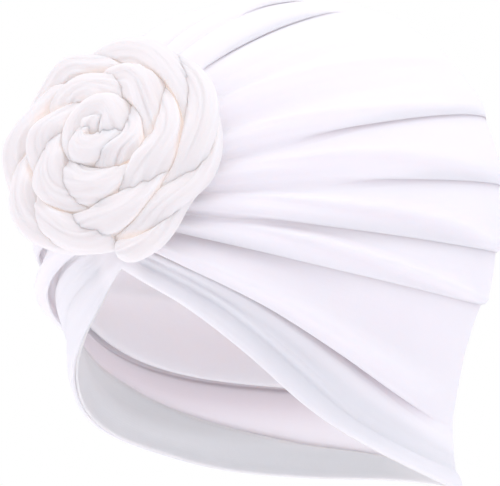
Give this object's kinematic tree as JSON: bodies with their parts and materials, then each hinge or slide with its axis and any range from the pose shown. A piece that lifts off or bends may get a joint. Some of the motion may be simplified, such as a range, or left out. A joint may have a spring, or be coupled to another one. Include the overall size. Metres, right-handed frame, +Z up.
{
  "type": "turban hat",
  "caption": "Pre-formed pleated turban hat of white stretch jersey with a coiled plait rosette at the centre front, open below and cut high over the forehead.",
  "frame": {"origin": "where the top of a head touches the inside of the crown", "axes": "the front, with the rosette, faces -Y; +X is the wearer's left; +Z is up"},
  "size_m": [0.1757, 0.2433, 0.2009],
  "materials": {
    "crown_jersey": "matt fine white cotton jersey with a little stretch, laid in pleats",
    "hem_jersey": "the same white jersey turned up inside",
    "plait_jersey": "the same white jersey rolled, padded and plaited"
  },
  "bodies": {
    "root": {"crown": "crown_jersey", "rim_hem": "hem_jersey", "plait_strand_1": "plait_jersey", "plait_strand_2": "plait_jersey", "plait_strand_3": "plait_jersey"}
  },
  "joints": []
}
